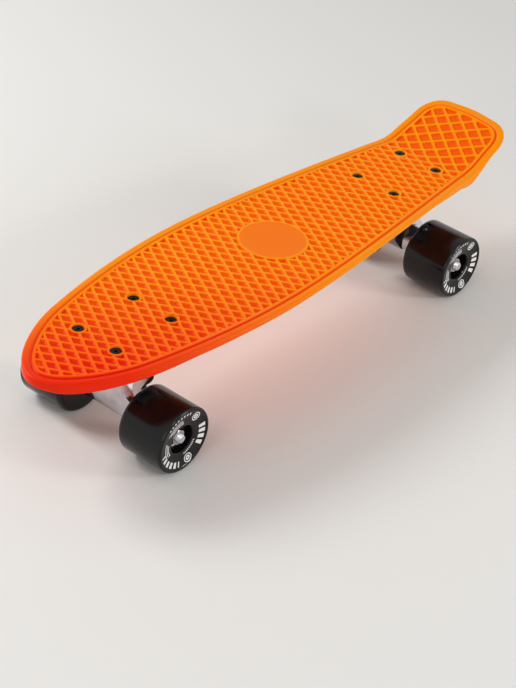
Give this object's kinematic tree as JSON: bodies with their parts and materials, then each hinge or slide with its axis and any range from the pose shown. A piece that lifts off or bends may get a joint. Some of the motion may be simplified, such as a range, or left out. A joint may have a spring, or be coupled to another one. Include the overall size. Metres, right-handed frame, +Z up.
{
  "type": "cruiser skateboard",
  "caption": "Small moulded plastic cruiser board: waffle-grip deck with a rounded nose and kicked tail, two sprung steering trucks and soft black wheels on ball bearings.",
  "frame": {"origin": "on the ground under the middle of the board's length and width", "axes": "+X towards the rounded nose, +Y towards the board's left side, +Z up"},
  "size_m": [0.5782, 0.1564, 0.1216],
  "materials": {
    "deck": "moulded, satin gloss",
    "black_hardware": "black oxide",
    "polished_aluminium": "polished casting",
    "bright_steel": "zinc plated, bright",
    "bushing": "cast urethane",
    "pivot_rubber": "matte",
    "wheel_urethane": "glossy cast urethane",
    "bearing_shield": "dark shield"
  },
  "bodies": {
    "board": {"deck": "deck", "front_outer_left_deck_bolt": "black_hardware", "front_outer_left_lock_nut": "black_hardware", "front_outer_right_deck_bolt": "black_hardware", "front_outer_right_lock_nut": "black_hardware", "front_inner_left_deck_bolt": "black_hardware", "front_inner_left_lock_nut": "black_hardware", "front_inner_right_deck_bolt": "black_hardware", "front_inner_right_lock_nut": "black_hardware", "front_base_plate": "polished_aluminium", "front_pivot_cup": "pivot_rubber", "front_kingpin": "black_hardware", "front_upper_cup_washer": "black_hardware", "front_upper_bushing": "bushing", "front_lower_bushing": "bushing", "front_lower_cup_washer": "black_hardware", "front_kingpin_nut": "black_hardware", "rear_outer_left_deck_bolt": "black_hardware", "rear_outer_left_lock_nut": "black_hardware", "rear_outer_right_deck_bolt": "black_hardware", "rear_outer_right_lock_nut": "black_hardware", "rear_inner_left_deck_bolt": "black_hardware", "rear_inner_left_lock_nut": "black_hardware", "rear_inner_right_deck_bolt": "black_hardware", "rear_inner_right_lock_nut": "black_hardware", "rear_base_plate": "polished_aluminium", "rear_pivot_cup": "pivot_rubber", "rear_kingpin": "black_hardware", "rear_upper_cup_washer": "black_hardware", "rear_upper_bushing": "bushing", "rear_lower_bushing": "bushing", "rear_lower_cup_washer": "black_hardware", "rear_kingpin_nut": "black_hardware"},
    "front_hanger_assembly": {"front_hanger": "polished_aluminium", "front_axle": "bright_steel", "front_left_speed_washer": "bright_steel", "front_left_axle_nut": "bright_steel", "front_right_speed_washer": "bright_steel", "front_right_axle_nut": "bright_steel"},
    "front_left_wheel_set": {"front_left_wheel": "wheel_urethane", "front_left_inner_bearing": "bearing_shield", "front_left_outer_bearing": "bearing_shield"},
    "front_right_wheel_set": {"front_right_wheel": "wheel_urethane", "front_right_inner_bearing": "bearing_shield", "front_right_outer_bearing": "bearing_shield"},
    "rear_hanger_assembly": {"rear_hanger": "polished_aluminium", "rear_axle": "bright_steel", "rear_left_speed_washer": "bright_steel", "rear_left_axle_nut": "bright_steel", "rear_right_speed_washer": "bright_steel", "rear_right_axle_nut": "bright_steel"},
    "rear_left_wheel_set": {"rear_left_wheel": "wheel_urethane", "rear_left_inner_bearing": "bearing_shield", "rear_left_outer_bearing": "bearing_shield"},
    "rear_right_wheel_set": {"rear_right_wheel": "wheel_urethane", "rear_right_inner_bearing": "bearing_shield", "rear_right_outer_bearing": "bearing_shield"}
  },
  "joints": [
    {"name": "front_steer", "type": "hinge", "parent": "board", "child": "front_hanger_assembly", "pos_m": [0.1649, 0, 0.04996], "axis": [0.8658, 0, 0.5003], "range_deg": [-10, 10], "stiffness_Nm_per_rad": 20, "deforming": ["front_upper_bushing", "front_lower_bushing"]},
    {"name": "front_left_wheel_spin", "type": "hinge", "parent": "front_hanger_assembly", "child": "front_left_wheel_set", "pos_m": [0.1949, 0.055, 0.0295], "axis": [0, 1, 0], "continuous": true},
    {"name": "front_right_wheel_spin", "type": "hinge", "parent": "front_hanger_assembly", "child": "front_right_wheel_set", "pos_m": [0.1949, -0.055, 0.0295], "axis": [0, 1, 0], "continuous": true},
    {"name": "rear_steer", "type": "hinge", "parent": "board", "child": "rear_hanger_assembly", "pos_m": [-0.1506, 0, 0.04996], "axis": [-0.8658, 0, 0.5003], "range_deg": [-10, 10], "stiffness_Nm_per_rad": 20, "deforming": ["rear_upper_bushing", "rear_lower_bushing"]},
    {"name": "rear_left_wheel_spin", "type": "hinge", "parent": "rear_hanger_assembly", "child": "rear_left_wheel_set", "pos_m": [-0.1806, 0.055, 0.0295], "axis": [0, 1, 0], "continuous": true},
    {"name": "rear_right_wheel_spin", "type": "hinge", "parent": "rear_hanger_assembly", "child": "rear_right_wheel_set", "pos_m": [-0.1806, -0.055, 0.0295], "axis": [0, 1, 0], "continuous": true}
  ]
}
